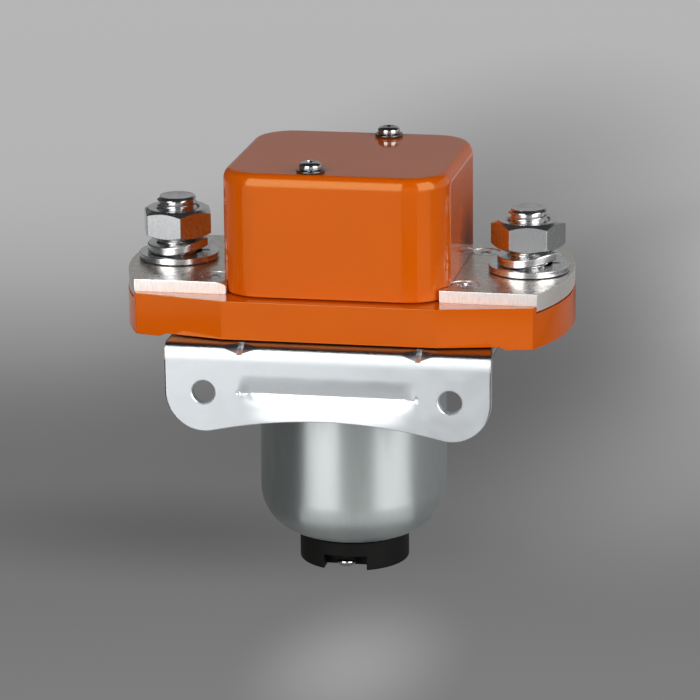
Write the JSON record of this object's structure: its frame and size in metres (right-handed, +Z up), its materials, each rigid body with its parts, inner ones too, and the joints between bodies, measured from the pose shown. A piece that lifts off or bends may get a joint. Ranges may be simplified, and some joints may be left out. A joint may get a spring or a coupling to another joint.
{
  "type": "high voltage dc contactor",
  "caption": "Sealed high voltage DC contactor: orange moulded base and cover, two flat terminal plates with threaded studs and nuts, folded mounting bracket, and a round steel solenoid can.",
  "frame": {"origin": "on the plunger's axis, at the bottom face of the terminal cap", "axes": "+X runs through the two studs, towards the right one seen from the bracket; -Y is out of the bracket's mounting face; +Z is up, along the studs and the plunger"},
  "size_m": [0.1112, 0.0642, 0.1064],
  "materials": {
    "orange_moulding": "high-gloss orange moulding",
    "tinned_copper": "satin tin plating on copper",
    "bright_plated_steel": "bright nickel or zinc plated steel",
    "satin_zinc_sheet": "satin bluish zinc plated sheet",
    "satin_zinc_can": "satin zinc plated drawn steel",
    "black_moulding": "matte black moulding",
    "copper": "plain copper",
    "silver_contact": "silver alloy contact",
    "brass": "plain brass",
    "soft_iron": "plated soft iron",
    "spring_steel": "spring steel",
    "natural_nylon": "natural nylon"
  },
  "bodies": {
    "housing": {"base": "orange_moulding", "cover": "orange_moulding", "cover_screw_front": "bright_plated_steel", "cover_screw_back": "bright_plated_steel", "cover_screw_washer_front": "bright_plated_steel", "cover_screw_washer_back": "bright_plated_steel", "terminal_plate_left": "tinned_copper", "terminal_plate_right": "tinned_copper", "plate_screw_left_front": "bright_plated_steel", "plate_screw_left_back": "bright_plated_steel", "plate_screw_right_front": "bright_plated_steel", "plate_screw_right_back": "bright_plated_steel", "stud_left": "bright_plated_steel", "stud_right": "bright_plated_steel", "flat_washer_left": "bright_plated_steel", "flat_washer_right": "bright_plated_steel", "spring_washer_left": "bright_plated_steel", "spring_washer_right": "bright_plated_steel", "nut_left": "bright_plated_steel", "nut_right": "bright_plated_steel", "fixed_contact_left": "silver_contact", "fixed_contact_right": "silver_contact", "mounting_bracket": "satin_zinc_sheet", "bracket_screw_1": "bright_plated_steel", "bracket_screw_2": "bright_plated_steel", "bracket_screw_3": "bright_plated_steel", "bracket_screw_4": "bright_plated_steel", "solenoid_can": "satin_zinc_can", "terminal_cap": "black_moulding", "cap_screw": "bright_plated_steel", "coil_terminal_front": "brass", "coil_terminal_back": "brass", "coil_screw_front": "bright_plated_steel", "coil_screw_back": "bright_plated_steel", "fixed_core": "soft_iron", "guide_sleeve": "brass", "yoke_plate": "soft_iron", "coil_bobbin": "natural_nylon", "coil_winding": "copper", "return_spring": "spring_steel", "contact_spring": "spring_steel"},
    "plunger": {"plunger_core": "soft_iron", "plunger_shaft": "spring_steel", "spring_seat": "natural_nylon", "retaining_clip": "spring_steel"},
    "bridge": {"contact_bridge": "copper", "bridge_bush": "natural_nylon", "moving_contact_left": "silver_contact", "moving_contact_right": "silver_contact"}
  },
  "joints": [
    {"name": "plunger_slide", "type": "slide", "parent": "housing", "child": "plunger", "axis": [0, 0, -1], "range_m": [0, 0.0042], "stiffness_N_per_m": 300, "springref_m": -0.01, "deforming": ["return_spring", "contact_spring"]},
    {"name": "bridge_slide", "type": "slide", "parent": "housing", "child": "bridge", "axis": [0, 0, -1], "range_m": [0, 0.003]}
  ],
  "couplings": [
    {"joint": "bridge_slide", "follows": "plunger_slide", "ratio": 0.7142}
  ]
}
